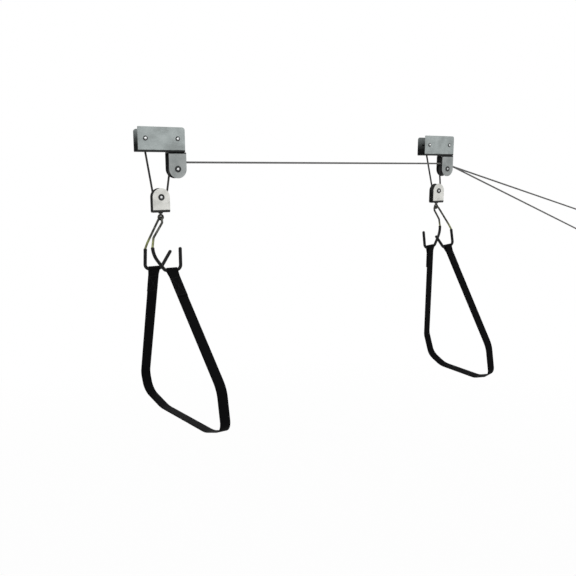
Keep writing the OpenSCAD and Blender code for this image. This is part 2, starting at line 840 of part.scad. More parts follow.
// The line, its turns clockwise round the neck, and its free end hanging down
function tail_points(drop, y) =
    let (
        a0 = 90 - tail_slope(drop), turned = a0 + 360 * cleat_turns, m = ceil(turned / wind_angle),
        first = neck_point(drop, a0), start = tail_start(drop, y), d = unit(first - start),
        wound = [for (k = [0 : m]) neck_point(drop, a0 - turned * k / m)],
        end = wound[m]
    )
    concat([start + rope_break * d], wound, [end - [0, 0, rope_d], end - [0, 0, free_end_l]]);

// Least distance between points of a winding that lie a turn or more apart, less the rope
function self_gap(points) =
    let (turn = floor(360 / wind_angle), m = len(points))
    min([for (i = [1 : m - turn - 4], j = [i + turn - 3 : m - 3]) norm(points[i] - points[j])]) - rope_d;

echo(front_tail_gap = self_gap(tail_points(front_cleat_drop, front_y)));
echo(rear_tail_gap = self_gap(tail_points(rear_cleat_drop, rear_y)));

module tail(drop, y) {
    tail_sides = 8;
    color(line_grey)
        tube(tail_points(drop, y), rope_r, tail_sides);
}

// Cleat on a wall behind it, seen from the front: base, round neck and two horns
module cleat(drop) {
    front = cleat_y - cleat_base_t;
    horn_y = front - neck_l_cleat - horn_root_r / 2;
    horn_rise = horn_root_r / 2;
    ball_fn = 24;
    color(black)
        translate([right_x + cleat_x, 0, -drop]) {
            translate([0, cleat_y, 0])
                rotate([90, 0, 0])
                    difference() {
                        linear_extrude(cleat_base_t) {
                            square([cleat_base_l - cleat_base_w, cleat_base_w], center = true);
                            for (side = [-1, 1])
                                translate([side * (cleat_base_l - cleat_base_w) / 2, 0])
                                    circle(d = cleat_base_w);
                        }
                        for (side = [-1, 1])
                            translate([side * cleat_screw_pitch / 2, 0, -over])
                                cylinder(d = cleat_screw_d, h = cleat_base_t + 2 * over);
                    }
            translate([0, front, 0])
                rotate([90, 0, 0])
                    cylinder(r = cleat_neck_r, h = neck_l_cleat + horn_root_r / 2);
            for (side = [-1, 1])
                hull() {
                    translate([0, horn_y, 0])
                        sphere(r = horn_root_r, $fn = ball_fn);
                    translate([side * (cleat_half_l - horn_tip_r), horn_y - horn_rise, 0])
                        sphere(r = horn_tip_r, $fn = ball_fn);
                }
        }
}

// Rope from the left haul fall over both front sheaves to the start of the front line
module span_rope() {
    span_sides = 10;
    arc_step = 15;
    lean = haul_lean(left_block_x);
    wrap = 90 - lean;
    m = ceil(wrap / arc_step);
    slope = tail_slope(front_cleat_drop);
    end_steps = max(2, ceil(slope / arc_step));
    points = concat(
        [for (k = [0 : m]) on_sheave(left_x + axle_offset, 0, -axle_drop, 180 - lean - wrap * k / m)],
        [for (k = [0 : end_steps]) on_sheave(sheave_x, front_y, -axle_drop, 90 - slope * k / end_steps)]
    );
    color(line_grey)
        tube(points, rope_r, span_sides);
}

module left_unit() {
    translate([left_x, 0, 0])
        children();
}

module right_unit() {
    translate([right_x, 0, 0])
        children();
}

// Places the hook and sling under the right block: drawn sideways about the ring
module right_load() {
    right_unit()
        translate([right_block_x, 0, apex_z])
            rotate([0, -right_hook_lean, 0])
                children();
}

module left_load() {
    left_unit()
        translate([left_block_x, 0, apex_z])
            children();
}

module at_axle(x, z) {
    translate([x, 0, z])
        children();
}

module block_spacers() {
    color(silver) {
        spacer(-yoke_in / 2, block_spacer_l);
        spacer(yoke_in / 2 - block_spacer_l, block_spacer_l);
    }
}

module left_bracket() { left_unit() bracket(); }
module right_bracket() { right_unit() bracket(); }
module left_clevis() { left_unit() at_axle(axle_offset, 0) clevis(); }
module right_clevis() { right_unit() at_axle(axle_offset, 0) clevis(); }
module left_clevis_rivets() { left_unit() clevis_rivets(); }
module right_clevis_rivets() { right_unit() clevis_rivets(); }
module left_top_axle() { left_unit() at_axle(axle_offset, -axle_drop) axle(housing_w); }
module right_top_axle() { right_unit() at_axle(axle_offset, -axle_drop) axle(housing_w); }

module left_top_spacers() {
    color(silver)
        left_unit()
            at_axle(axle_offset, -axle_drop) {
                spacer(-housing_in / 2, top_spacer_l);
                spacer(housing_in / 2 - top_spacer_l, top_spacer_l);
            }
}

module right_top_washers() {
    color(silver)
        right_unit()
            at_axle(axle_offset, -axle_drop)
                for (y = [-housing_in / 2, -washer_t / 2, housing_in / 2 - washer_t])
                    spacer(y, washer_t);
}

module left_top_sheave() { left_unit() at_axle(axle_offset, -axle_drop) sheave(); }

module right_front_sheave() {
    right_unit()
        at_axle(axle_offset, -axle_drop)
            translate([0, front_y, 0])
                sheave();
}

module right_rear_sheave() {
    right_unit()
        at_axle(axle_offset, -axle_drop)
            translate([0, rear_y, 0])
                sheave();
}

module left_rope_knot() { left_unit() rope_knot(); }
module right_rope_knot() { right_unit() rope_knot(); }
module left_anchor_fall() { left_unit() anchor_fall(left_block_x); }
module right_anchor_fall() { right_unit() anchor_fall(right_block_x); }
module left_haul_fall() { left_unit() haul_fall(left_block_x, 0); }
module right_haul_fall() { right_unit() haul_fall(right_block_x, rear_y); }
module left_yoke() { left_unit() at_axle(left_block_x, -block_drop) yoke(); }
module right_yoke() { right_unit() at_axle(right_block_x, -block_drop) yoke(); }
module left_block_axle() { left_unit() at_axle(left_block_x, -block_drop) axle(yoke_w); }
module right_block_axle() { right_unit() at_axle(right_block_x, -block_drop) axle(yoke_w); }
module left_block_spacers() { left_unit() at_axle(left_block_x, -block_drop) block_spacers(); }
module right_block_spacers() { right_unit() at_axle(right_block_x, -block_drop) block_spacers(); }
module left_block_sheave() { left_unit() at_axle(left_block_x, -block_drop) sheave(); }
module right_block_sheave() { right_unit() at_axle(right_block_x, -block_drop) sheave(); }

module block_rope(bx) {
    groove_rope(bx, 0, -block_drop, 180 + anchor_lean(bx), 360 - haul_lean(bx));
}

module left_block_rope() { left_unit() block_rope(left_block_x); }
module right_block_rope() { right_unit() block_rope(right_block_x); }

module right_top_rope() {
    first = 90 - tail_slope(rear_cleat_drop);
    last = 180 - haul_lean(right_block_x);
    right_unit()
        groove_rope(axle_offset, rear_y, -axle_drop, first, last);
}

module left_swivel_washers() { left_unit() at_axle(left_block_x, 0) swivel_washers(); }
module right_swivel_washers() { right_unit() at_axle(right_block_x, 0) swivel_washers(); }
module left_swivel_eye() { left_unit() at_axle(left_block_x, 0) swivel_eye(); }
module right_swivel_eye() { right_unit() at_axle(right_block_x, 0) swivel_eye(); }
module left_hook_rod() { left_load() hook_rod(); }
module right_hook_rod() { right_load() rotate([0, 0, 180]) hook_rod(); }
module left_hook_sleeves() { left_load() hook_sleeves(); }
module right_hook_sleeves() { right_load() rotate([0, 0, 180]) hook_sleeves(); }
module left_strap() { left_load() left_sling(); }
module right_strap() { right_load() right_sling(); }
module front_tail() { tail(front_cleat_drop, front_y); }
module rear_tail() { tail(rear_cleat_drop, rear_y); }
module front_cleat() { cleat(front_cleat_drop); }
module rear_cleat() { cleat(rear_cleat_drop); }

left_bracket();
left_clevis();
left_clevis_rivets();
left_top_axle();
left_top_spacers();
left_top_sheave();
left_rope_knot();
left_anchor_fall();
left_haul_fall();
left_yoke();
left_block_axle();
left_block_spacers();
left_block_sheave();
left_block_rope();
left_swivel_washers();
left_swivel_eye();
left_hook_rod();
left_hook_sleeves();
left_strap();
right_bracket();
right_clevis();
right_clevis_rivets();
right_top_axle();
right_top_washers();
right_front_sheave();
right_rear_sheave();
right_rope_knot();
right_anchor_fall();
right_haul_fall();
right_yoke();
right_block_axle();
right_block_spacers();
right_block_sheave();
right_block_rope();
right_swivel_washers();
right_swivel_eye();
right_hook_rod();
right_hook_sleeves();
right_strap();
span_rope();
right_top_rope();
front_tail();
rear_tail();
front_cleat();
rear_cleat();
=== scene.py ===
"""Kayak hoist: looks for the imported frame. Lengths are in millimetres where nothing else is said."""
import math

import bpy
import numpy as np
from mathutils import Matrix, Vector


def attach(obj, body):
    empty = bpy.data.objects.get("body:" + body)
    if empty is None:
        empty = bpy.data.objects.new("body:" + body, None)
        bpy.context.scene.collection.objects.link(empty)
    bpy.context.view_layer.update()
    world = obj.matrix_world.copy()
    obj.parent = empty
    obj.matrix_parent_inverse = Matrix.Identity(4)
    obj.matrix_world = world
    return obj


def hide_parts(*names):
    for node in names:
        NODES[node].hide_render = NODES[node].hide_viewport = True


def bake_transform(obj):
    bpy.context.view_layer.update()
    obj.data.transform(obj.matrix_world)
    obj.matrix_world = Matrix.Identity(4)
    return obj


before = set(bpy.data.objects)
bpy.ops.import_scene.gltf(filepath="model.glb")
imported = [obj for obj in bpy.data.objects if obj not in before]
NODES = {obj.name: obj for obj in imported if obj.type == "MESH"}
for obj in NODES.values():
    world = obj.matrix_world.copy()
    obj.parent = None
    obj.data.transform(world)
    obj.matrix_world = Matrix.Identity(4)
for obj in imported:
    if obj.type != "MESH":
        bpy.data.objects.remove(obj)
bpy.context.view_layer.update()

MM = 0.001


def vec(*v):
    return np.array(v, float)


def unit(v):
    return v / np.linalg.norm(v)


# Camera at the photograph's view: yaw to the right of +Y, pitch down, focal length in pixels of its 576
YAW, PITCH, FOCAL, FRAME_PX = 30.54, 10.46, 650.0, 576.0
CAMERA_AT = vec(-1283.05, -1987.27, -48.67)
SENSOR = 36.0
CLIP_END_M = 100.0


def place_camera():
    """Camera as fitted to the photograph."""
    yaw, pitch = math.radians(YAW), math.radians(PITCH)
    right = vec(math.cos(yaw), -math.sin(yaw), 0)
    level = vec(math.sin(yaw), math.cos(yaw), 0)
    forward = level * math.cos(pitch) - vec(0, 0, math.sin(pitch))
    up = level * math.sin(pitch) + vec(0, 0, math.cos(pitch))
    data = bpy.data.cameras.new("camera")
    data.sensor_width = SENSOR
    data.lens = FOCAL / FRAME_PX * SENSOR
    data.clip_end = CLIP_END_M
    camera = bpy.data.objects.new("camera", data)
    bpy.context.scene.collection.objects.link(camera)
    turn = Matrix([[right[i], up[i], -forward[i]] for i in range(3)])
    camera.matrix_world = Matrix.Translation(Vector(CAMERA_AT * MM)) @ turn.to_4x4()
    bpy.context.scene.camera = camera


place_camera()

# Sizes shared with the solids. X of a unit's parts counts from the middle of its bracket
SPAN = 1150.0  # between the middles of the brackets
UNIT_X = {"left": -SPAN / 2, "right": SPAN / 2}
SHEET_T = 2.0  # steel of the brackets
ROPE_D = 6.4
ROPE_R = ROPE_D / 2
PITCH_R = 21.0  # of the rope's middle on a sheave
AXLE_X, AXLE_Z = 52.0, -52.0  # upper axle
BLOCK_X = {"left": -4.5, "right": 14.0}
BLOCK_Z = -139.0  # axle of the lower block
ANCHOR_X = -47.0  # rope hole in the bracket's web
REAR_Y = 6.8  # of the right housing's rear sheave, as far behind the middle as the front one is before it
APEX_Z = -202.45  # middle of the hook's wire where it hangs in the swivel's ring
HOOK_DROP = 167.0  # from there down to the wire's middle at the seats
HOOK_Y = 30.0  # of each hook, before and behind the middle
ROD_R = 3.75  # of the hook's wire
COAT_R = 5.5  # of its coating
STRAP_W, STRAP_T = 35.0, 2.2
SOLID_T = 2.4  # of the solid strap, whose line the thinner band follows


# Paths

def rounded(path, step):
    """Points of [(point, bend radius), ...] with the corners rounded."""
    out = [np.array(path[0][0], float)]
    for (p, _), (q, r), (s, _) in zip(path, path[1:], path[2:]):
        p, q, s = (np.array(x, float) for x in (p, q, s))
        if not r:
            out.append(q)
            continue
        u, w = unit(q - p), unit(s - q)
        a = math.acos(max(-1, min(1, float(u @ w))))
        n = w - u
        n = unit(n - (n @ u) * u)
        c = q - r * math.tan(a / 2) * u + r * n
        m = max(2, math.ceil(math.degrees(a) / step))
        for k in range(m + 1):
            b = a * k / m
            out.append(c - r * n * math.cos(b) + r * u * math.sin(b))
    out.append(np.array(path[-1][0], float))
    return out


def resampled(points, step):
    """The same line with points at most step apart."""
    out = [points[0]]
    for p, q in zip(points, points[1:]):
        m = max(1, math.ceil(np.linalg.norm(q - p) / step))
        out += [p + (q - p) * k / m for k in range(1, m + 1)]
    return out


def frames(points, start):
    """Tangents and untwisted normals along a line."""
    d = [unit(b - a) for a, b in zip(points, points[1:])]
    tangents = [d[0]] + [unit(a + b) for a, b in zip(d, d[1:])] + [d[-1]]
    n = np.array(start, float)
    normals = []
    for t in tangents:
        n = unit(n - (n @ t) * t)
        normals.append(n)
    return tangents, normals


def lengths(points):
    """Run along a line from its first point to each of its points."""
    return np.concatenate([[0], np.cumsum([np.linalg.norm(b - a) for a, b in zip(points, points[1:])])])


# Meshes

def new_object(name, verts, faces, uvs=None, smooth=True):
    """Object of vertices in millimetres; its mesh is in metres."""
    mesh = bpy.data.meshes.new(name)
    mesh.from_pydata([tuple(np.array(v) * MM) for v in verts], [], faces)
    if uvs is not None:
        layer = mesh.uv_layers.new(name="run")
        flat = [c for face in uvs for uv in face for c in uv]
        layer.data.foreach_set("uv", flat)
    mesh.polygons.foreach_set("use_smooth", [smooth] * len(mesh.polygons))
    mesh.update()
    obj = bpy.data.objects.new(name, mesh)
    bpy.context.scene.collection.objects.link(obj)
    return obj


def sweep(name, points, section, start, radii=None, flat_x=False):
    """Mesh of a section, (a, b) pairs round a loop, swept along points and closed at both ends.

    start is the direction of a at the first point, radii scales the section at each point, and flat_x
    keeps a along X. UVs are the run in mm and the place round it in turns.
    """
    points = [np.array(p, float) for p in points]
    tangents, normals = frames(points, start)
    run = lengths(points)
    n = len(section)
    verts, faces, uvs = [], [], []
    for i, (p, t, a) in enumerate(zip(points, tangents, normals)):
        if flat_x:
            a = vec(1, 0, 0)
            b = unit(np.cross(t, a))
        else:
            b = np.cross(t, a)
        k = 1.0 if radii is None else radii[i]
        verts += [p + k * (x * a + y * b) for x, y in section]
    for i in range(len(points) - 1):
        for j in range(n):
            m = (j + 1) % n
            faces.append((i * n + j, i * n + m, (i + 1) * n + m, (i + 1) * n + j))
            here, there = run[i], run[i + 1]
            uvs.append(((here, j / n), (here, (j + 1) / n), (there, (j + 1) / n), (there, j / n)))
    last = (len(points) - 1) * n
    faces.append(tuple(range(n - 1, -1, -1)))
    uvs.append(tuple((run[0], j / n) for j in range(n - 1, -1, -1)))
    faces.append(tuple(range(last, last + n)))
    uvs.append(tuple((run[-1], j / n) for j in range(n)))
    return new_object(name, verts, faces, uvs)


def disc(r, sides):
    turn = 2 * math.pi / sides
    return [(r * math.cos(turn * k), r * math.sin(turn * k)) for k in range(sides)]


def rope(name, points, step, sides, start=(0, 1, 0), r=ROPE_R):
    return sweep(name, resampled([np.array(p, float) for p in points], step), disc(r, sides), start)


def revolve(name, profile, at, axis, sides=32):
    """Mesh of (radius, height) pairs turned about an axis through a point."""
    z = unit(np.array(axis, float))
    x = unit(np.cross(z, vec(0.3, 0.5, 1) if abs(z[2]) < 0.9 else vec(1, 0, 0)))
    y = np.cross(z, x)
    verts, faces = [], []
    for r, h in profile:
        verts += [np.array(at) + z * h + r * (x * c + y * s) for c, s in disc(1, sides)]
    for i in range(len(profile) - 1):
        for j in range(sides):
            m = (j + 1) % sides
            faces.append((i * sides + j, i * sides + m, (i + 1) * sides + m, (i + 1) * sides + j))
    last = (len(profile) - 1) * sides
    faces.append(tuple(range(sides - 1, -1, -1)))
    faces.append(tuple(range(last, last + sides)))
    return new_object(name, verts, faces)


def joined(name, objs):
    """One object from several, which are removed."""
    verts, faces, uvs, smooth = [], [], [], []
    base = 0
    for o in objs:
        verts += [np.array(v.co) / MM for v in o.data.vertices]
        layer = o.data.uv_layers.active
        for p in o.data.polygons:
            faces.append(tuple(base + i for i in p.vertices))
            smooth.append(p.use_smooth)
            uvs.append([tuple(layer.data[i].uv) if layer else (0, 0) for i in p.loop_indices])
        base += len(o.data.vertices)
        mesh = o.data
        bpy.data.objects.remove(o)
        bpy.data.meshes.remove(mesh)
    out = new_object(name, verts, faces, uvs)
    out.data.polygons.foreach_set("use_smooth", smooth)
    return out


# Materials

def linear(*c):
    """Linear colour of a screen colour from 0 to 255."""
    return tuple(((x / 255 + 0.055) / 1.055) ** 2.4 if x > 10 else x / 255 / 12.92 for x in c) + (1,)


class Paint:
    """A material with short names for its nodes."""

    def __init__(self, name, **sockets):
        self.mat = bpy.data.materials.new(name)
        self.mat.use_nodes = True
        self.tree = self.mat.node_tree
        self.bsdf = self.tree.nodes["Principled BSDF"]
        for key, value in sockets.items():
            self.bsdf.inputs[key.replace("_", " ")].default_value = value

    def node(self, kind, **settings):
        n = self.tree.nodes.new(kind)
        for key, value in settings.items():
            setattr(n, key, value)
        return n

    def link(self, a, b):
        self.tree.links.new(a, b)

    def math(self, operation, *values):
        n = self.node("ShaderNodeMath", operation=operation)
        for socket, value in zip(n.inputs, values):
            if isinstance(value, (int, float)):
                socket.default_value = value
            else:
                self.link(value, socket)
        return n.outputs[0]

    def coords(self, kind="Object"):
        return self.node("ShaderNodeTexCoord").outputs[kind]

    def noise(self, scale, detail, where=None, stretch=None):
        n = self.node("ShaderNodeTexNoise")
        for key, value in (("Scale", scale), ("Detail", detail), ("Roughness", 0.55)):
            n.inputs[key].default_value = value
        place = where or self.coords()
        if stretch:
            m = self.node("ShaderNodeMapping")
            m.inputs["Scale"].default_value = stretch
            self.link(place, m.inputs["Vector"])
            place = m.outputs[0]
        self.link(place, n.inputs["Vector"])
        return n.outputs["Fac"]

    def cells(self, scale):
        n = self.node("ShaderNodeTexVoronoi")
        n.inputs["Scale"].default_value = scale
        self.link(self.coords(), n.inputs["Vector"])
        return n.outputs["Distance"]

    def parts(self, vector):
        """X, Y and Z of a vector."""
        n = self.node("ShaderNodeSeparateXYZ")
        self.link(vector, n.inputs[0])
        return n.outputs

    def ramp(self, fac, *stops):
        """Colour of a value between (place, colour) stops."""
        n = self.node("ShaderNodeValToRGB")
        while len(n.color_ramp.elements) < len(stops):
            n.color_ramp.elements.new(0.5)
        for e, (at, colour) in zip(n.color_ramp.elements, stops):
            e.position = at
            e.color = colour
        self.link(fac, n.inputs["Fac"])
        return n.outputs["Color"]

    def spread(self, fac, low, high, start=0.0, end=1.0):
        """The span from start to end drawn out to the one from low to high, and held past its ends."""
        n = self.node("ShaderNodeMapRange")
        for key, value in (("From Min", start), ("From Max", end), ("To Min", low), ("To Max", high)):
            n.inputs[key].default_value = value
        self.link(fac, n.inputs["Value"])
        return n.outputs["Result"]

    def mix(self, fac, a, b, blend="MIX"):
        n = self.node("ShaderNodeMix", data_type="RGBA", blend_type=blend)
        for socket, value in ((n.inputs["Factor"], fac), (n.inputs[6], a), (n.inputs[7], b)):
            if isinstance(value, (int, float, tuple)):
                socket.default_value = value
            else:
                self.link(value, socket)
        return n.outputs[2]

    def bump(self, height, strength, distance):
        """Normal of a height from 0 to 1, which stands for a distance in mm."""
        n = self.node("ShaderNodeBump")
        n.inputs["Strength"].default_value = strength
        n.inputs["Distance"].default_value = distance * MM
        self.link(height, n.inputs["Height"])
        return n.outputs["Normal"]

    def done(self, colour, roughness, normal):
        for value, key in ((colour, "Base Color"), (roughness, "Roughness"), (normal, "Normal")):
            self.link(value, self.bsdf.inputs[key])
        return self.mat


def zinc_sheet(name, light, mid, dark, base, inside, fade=None):
    """Zinc plated sheet with soft mottling and faint grain along X.

    base is the span of heights of the bend, which is made dark as painted shade. Faces less than inside
    from the middle plane get painted shade too; with fade it deepens from the height fade[0] down to
    fade[1].
    """
    p = Paint(name, Metallic=0.55)
    blotch = p.noise(30, 4)
    grain = p.noise(60, 2, stretch=(1.0, 9.0, 9.0))
    tone = p.math("ADD", p.math("MULTIPLY", blotch, 0.8), p.math("MULTIPLY", grain, 0.2))
    colour = p.ramp(tone, (0.34, dark), (0.5, mid), (0.68, light))
    speck = p.spread(p.cells(330), 0.95, 1.03)
    grey = p.node("ShaderNodeCombineColor")
    for i in range(3):
        p.link(speck, grey.inputs[i])
    colour = p.mix(1.0, colour, grey.outputs[0], "MULTIPLY")
    _, y, z = p.parts(p.coords())
    wobble = p.spread(p.noise(90, 3), -0.9, 0.9)
    height = p.math("ADD", p.math("MULTIPLY", z, 1 / MM), wobble)
    low, high = base
    above = p.spread(height, 0, 1, low - 0.8, low + 0.3)
    below = p.spread(height, 1, 0, high - 0.6, high + 0.9)
    bend = p.math("MULTIPLY", above, below)
    facing = p.parts(p.node("ShaderNodeNewGeometry").outputs["Normal"])
    upright = p.spread(p.math("ABSOLUTE", facing[2]), 1, 0, 0.93, 0.985)
    bend = p.math("MULTIPLY", bend, upright)
    depth = p.math("ABSOLUTE", p.math("MULTIPLY", y, 1 / MM))
    inner_shade = p.spread(depth, 1, 0, inside - 0.35, inside - 0.1)
    if fade:
        inner_shade = p.math("MULTIPLY", inner_shade, p.spread(height, 0.35, 1, *fade))
    # Painted shade: the bend band and the inner faces are mixed toward near black
    shade = p.math("MAXIMUM", p.math("MULTIPLY", bend, 0.97), p.math("MULTIPLY", inner_shade, 0.94))
    colour = p.mix(shade, colour, linear(9, 10, 10))
    relief = p.math("ADD", p.math("MULTIPLY", grain, 0.3), p.math("MULTIPLY", p.noise(420, 2), 0.5))
    return p.done(colour, p.spread(p.noise(70, 3), 0.38, 0.56), p.bump(relief, 0.14, 0.25))


def turned_steel(name, light, dark, metallic=0.85):
    """Axles, rivets, screws and washers, with a closer grain than the sheet's."""
    p = Paint(name, Metallic=metallic)
    colour = p.ramp(p.noise(160, 3), (0.3, dark), (0.7, light))
    return p.done(colour, p.spread(p.noise(240, 2), 0.24, 0.42), p.bump(p.noise(700, 2), 0.12, 0.15))


TINGE_FROM, TINGE_TO = -262.0, -278.0  # heights between which the tinge grows to its full strength


def wire_zinc(name, dark, mid, light):
    """Zinc wire with draw lines and the yellow and green tinge of its plating, strongest by the coating."""
    p = Paint(name, Metallic=0.72)
    patch = p.noise(38, 3)
    colour = p.ramp(p.noise(120, 3), (0.3, dark), (0.55, mid), (0.8, light))
    tinge = p.ramp(patch, (0.35, linear(170, 168, 110)), (0.65, linear(120, 134, 84)))
    low = p.spread(p.parts(p.coords())[2], 0, 1, TINGE_FROM * MM, TINGE_TO * MM)
    near = p.math("MULTIPLY", low, p.spread(patch, 0.25, 1, 0.4, 0.6))
    colour = p.mix(p.math("MULTIPLY", near, 0.8), colour, tinge)
    lines = p.noise(30, 2, where=p.coords("UV"), stretch=(0.02, 26.0, 1.0))
    return p.done(colour, p.spread(patch, 0.28, 0.5), p.bump(lines, 0.2, 0.2))


def vinyl():
    """Dipped coating: nearly black, with a soft uneven gloss."""
    p = Paint("hook_vinyl", Specular_IOR_Level=0.15, Coat_Weight=0.02, Coat_Roughness=0.35)
    colour = p.ramp(p.noise(60, 3), (0.35, linear(3, 3, 4)), (0.7, linear(10, 10, 12)))
    skin = p.math("ADD", p.math("MULTIPLY", p.noise(45, 2), 0.8), p.math("MULTIPLY", p.noise(520, 2), 0.2))
    return p.done(colour, p.spread(p.noise(80, 3), 0.36, 0.56), p.bump(skin, 0.35, 0.6))


def nylon(name, dark, light):
    """Moulded plastic with a fine grain."""
    p = Paint(name, Specular_IOR_Level=0.3)
    colour = p.ramp(p.noise(70, 4), (0.3, dark), (0.7, light))
    return p.done(colour, p.spread(p.noise(140, 3), 0.38, 0.6), p.bump(p.noise(900, 3), 0.2, 0.12))


def braid(name, dark, light, along="run"):
    """Braided rope, whose strands cross at a steady pitch along the run, or along Z on the falls."""
    p = Paint(name, Specular_IOR_Level=0.15, Sheen_Weight=0.06, Sheen_Roughness=0.5)
    run, around, _ = p.parts(p.coords("UV"))
    if along == "z":
        run = p.math("MULTIPLY", p.parts(p.coords())[2], 1 / MM)
    turns = 2 * math.pi
    strand_pitch, strands, tracer_pitch = 4.2, 6, 12.6
    a = p.math("MULTIPLY", run, turns / strand_pitch)
    b = p.math("MULTIPLY", around, turns * strands)
    one = p.math("SINE", p.math("ADD", a, b))
    two = p.math("SINE", p.math("SUBTRACT", a, b))
    weave = p.math("MULTIPLY", p.math("ADD", p.math("MAXIMUM", one, two), 1.0), 0.5)
    fibre = p.noise(900, 2)
    tone = p.math("ADD", p.math("MULTIPLY", weave, 0.75), p.math("MULTIPLY", fibre, 0.3))
    colour = p.ramp(tone, (0.25, dark), (0.95, light))
    tracer = p.math("SINE", p.math("ADD", p.math("MULTIPLY", run, turns / tracer_pitch), b))
    fleck = p.spread(tracer, 0, 1, 0.93, 1.0)
    colour = p.mix(p.math("MULTIPLY", fleck, 0.35), colour, light)
    height = p.math("ADD", weave, p.math("MULTIPLY", fibre, 0.15))
    return p.done(colour, p.spread(fibre, 0.6, 0.85), p.bump(height, 0.6, 0.5))


def webbing():
    """Woven strap: ribs along it, crossed by picks that slant one way on a rib and the other on the next.

    The attribute across is the place over the width, in mm from the middle.
    """
    p = Paint("webbing", Specular_IOR_Level=0.05)
    run = p.parts(p.coords("UV"))[0]
    x = p.node("ShaderNodeAttribute", attribute_name="across").outputs["Fac"]
    turns = 2 * math.pi
    rib_pitch, pick_pitch, slant_pitch = 5.0, 1.7, 1.9
    wave = p.math("SINE", p.math("MULTIPLY", x, turns / rib_pitch))
    rib = p.math("ABSOLUTE", wave)
    along = p.math("MULTIPLY", run, turns / pick_pitch)
    aside = p.math("MULTIPLY", p.math("MULTIPLY", x, p.math("SIGN", wave)), turns / slant_pitch)
    pick = p.math("MULTIPLY", p.math("ADD", p.math("SINE", p.math("ADD", along, aside)), 1.0), 0.5)
    height = p.math("ADD", p.math("MULTIPLY", rib, 0.55), p.math("MULTIPLY", pick, 0.45))
    fuzz = p.noise(700, 2)
    tone = p.math("ADD", p.math("MULTIPLY", height, 0.7), p.math("MULTIPLY", fuzz, 0.3))
    colour = p.ramp(tone, (0.2, linear(1, 1, 2)), (0.9, linear(9, 9, 10)))
    return p.done(colour, p.spread(fuzz, 0.66, 0.88), p.bump(height, 0.45, 0.4))


def thread():
    p = Paint("thread", Specular_IOR_Level=0.15, Sheen_Weight=0.04)
    colour = p.ramp(p.noise(1500, 2), (0.3, linear(12, 12, 13)), (0.7, linear(30, 30, 32)))
    return p.done(colour, p.spread(p.noise(900, 2), 0.5, 0.7), p.bump(p.noise(2200, 2), 0.3, 0.08))


# base, inside and fade of each sheet place its painted shade: the dark bend band and the dark inner faces
MATERIALS = {
    "bracket": zinc_sheet(
        "bracket_steel", linear(161, 168, 167), linear(148, 155, 154), linear(133, 139, 138),
        base=(-0.2, 6.2), inside=21.5, fade=(62, 22)),
    "housing": zinc_sheet(
        "housing_steel", linear(157, 161, 160), linear(144, 148, 147), linear(129, 134, 133),
        base=(-4.5, 0.2), inside=16.6),
    "block": zinc_sheet(
        "block_steel", linear(218, 218, 213), linear(205, 205, 200), linear(187, 187, 182),
        base=(-187.6, -178.6), inside=12.5),
    "rivet": turned_steel("rivet_steel", linear(190, 193, 192), linear(140, 144, 144)),
    "axle": turned_steel("axle_steel", linear(64, 66, 66), linear(26, 27, 28)),
    "pin": turned_steel("pin_steel", linear(222, 223, 223), linear(182, 185, 185), 0.6),
    "sheave": nylon("sheave_nylon", linear(20, 20, 21), linear(38, 38, 40)),
    "cleat": nylon("cleat_nylon", linear(22, 22, 23), linear(42, 42, 44)),
    "zinc": wire_zinc("hook_zinc", linear(26, 26, 24), linear(62, 62, 57), linear(124, 125, 118)),
    "eye": wire_zinc("eye_zinc", linear(20, 20, 19), linear(52, 52, 49), linear(120, 120, 114)),
    "vinyl": vinyl(),
    "fall": braid("rope_dark", linear(10, 10, 10), linear(54, 54, 53), "z"),
    "dark_run": braid("rope_dark_run", linear(10, 10, 10), linear(54, 54, 53)),
    "light_run": braid("rope_light", linear(36, 36, 36), linear(112, 112, 111)),
    "webbing": webbing(),
    "thread": thread(),
}


def paint(obj, material):
    obj.data.materials.clear()
    obj.data.materials.append(MATERIALS[material])


def dress(obj, material, body, replaced=()):
    """Material and body of a new piece, and the nodes that it stands for, which are hidden."""
    paint(obj, material)
    if body:
        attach(obj, body)
    if replaced:
        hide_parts(*replaced)


for side in UNIT_X:
    for node, material in (
        ("bracket", "bracket"), ("clevis", "housing"), ("clevis_rivets", "rivet"), ("top_axle", "axle"),
        ("yoke", "block"), ("block_axle", "axle"), ("block_spacers", "rivet"), ("block_sheave", "sheave"),
        ("swivel_washers", "axle"), ("swivel_eye", "eye"),
    ):
        paint(NODES[f"{side}_{node}"], material)
for node, material in (
    ("left_top_spacers", "rivet"), ("left_top_sheave", "sheave"), ("right_top_washers", "rivet"),
    ("right_front_sheave", "sheave"), ("right_rear_sheave", "sheave"),
    ("front_cleat", "cleat"), ("rear_cleat", "cleat"),
):
    paint(NODES[node], material)


# Ropes

def haul_lean(side):
    """Lean from upright of the fall between the right of the lower sheave and the left of the upper one."""
    dx, dz = AXLE_X - BLOCK_X[side], AXLE_Z - BLOCK_Z
    return math.atan2(dx, dz) - math.asin(2 * PITCH_R / math.hypot(dx, dz))


def anchor_lean(side):
    """Lean of the fall between the rope hole and the left of the lower sheave."""
    dx, dz = BLOCK_X[side] - ANCHOR_X, -BLOCK_Z + SHEET_T / 2
    return math.atan2(dx, dz) - math.asin(PITCH_R / math.hypot(dx, dz))


def on_sheave(x, y, z, a):
    """Middle of the rope at the angle a on a sheave whose own middle is at x, y, z."""
    return vec(x + PITCH_R * math.cos(a), y, z + PITCH_R * math.sin(a))


def over_sheave(x, y, z, a, turned, steps):
    """Line of the rope on a sheave, from the angle a through the angle turned."""
    return [on_sheave(x, y, z, a + turned * k / steps) for k in range(steps + 1)]


KNOT_STEPS = 20


